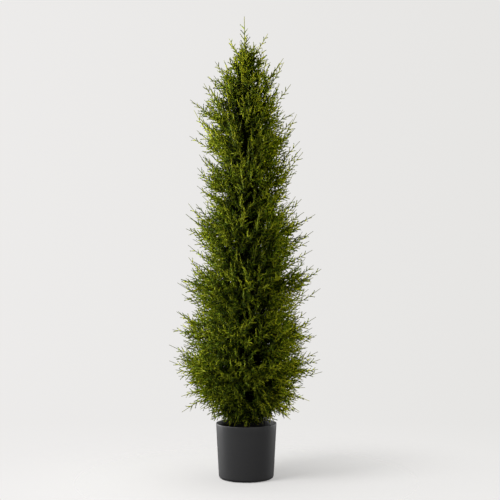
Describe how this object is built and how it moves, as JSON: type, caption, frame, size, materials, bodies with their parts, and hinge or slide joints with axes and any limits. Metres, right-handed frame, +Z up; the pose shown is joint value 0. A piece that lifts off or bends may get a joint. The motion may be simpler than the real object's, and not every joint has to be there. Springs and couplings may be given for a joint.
{
  "type": "potted artificial cedar topiary",
  "caption": "Slim artificial cedar topiary with a tiered evergreen crown on one pole, in a round dark plastic pot that stands on its flat underside.",
  "frame": {"origin": "centre of the pot's flat underside, on the surface that the pot stands on", "axes": "+Z up along the pot and pole, +X to the right and -Y towards the viewer of the plant's front"},
  "size_m": [0.3928, 0.3832, 1.22],
  "materials": {
    "pot": "satin",
    "filling": "matte",
    "bark": "matte",
    "foliage": "matte"
  },
  "bodies": {
    "root": {"bough_belly_1": "bark", "bough_belly_2": "bark", "bough_belly_3": "bark", "bough_belly_4": "bark", "bough_belly_5": "bark", "bough_low_1": "bark", "bough_low_2": "bark", "bough_low_3": "bark", "bough_low_4": "bark", "bough_low_5": "bark", "bough_waist_1": "bark", "bough_waist_2": "bark", "bough_waist_3": "bark", "bough_waist_4": "bark", "bough_waist_5": "bark", "foliage_belly_1": "foliage", "foliage_belly_2": "foliage", "foliage_belly_3": "foliage", "foliage_belly_4": "foliage", "foliage_belly_5": "foliage", "foliage_cap_1": "foliage", "foliage_cap_2": "foliage", "foliage_cap_3": "foliage", "foliage_leader": "foliage", "foliage_low_1": "foliage", "foliage_low_2": "foliage", "foliage_low_3": "foliage", "foliage_low_4": "foliage", "foliage_low_5": "foliage", "foliage_middle_1": "foliage", "foliage_middle_2": "foliage", "foliage_middle_3": "foliage", "foliage_middle_4": "foliage", "foliage_middle_5": "foliage", "foliage_neck_1": "foliage", "foliage_neck_2": "foliage", "foliage_neck_3": "foliage", "foliage_shoulder_1": "foliage", "foliage_shoulder_2": "foliage", "foliage_shoulder_3": "foliage", "foliage_shoulder_4": "foliage", "foliage_skirt_1": "foliage", "foliage_skirt_2": "foliage", "foliage_skirt_3": "foliage", "foliage_skirt_4": "foliage", "foliage_upper_1": "foliage", "foliage_upper_2": "foliage", "foliage_upper_3": "foliage", "foliage_upper_4": "foliage", "foliage_waist_1": "foliage", "foliage_waist_2": "foliage", "foliage_waist_3": "foliage", "foliage_waist_4": "foliage", "foliage_waist_5": "foliage", "pot": "pot", "pot_fill": "filling", "trunk": "bark"}
  },
  "joints": []
}
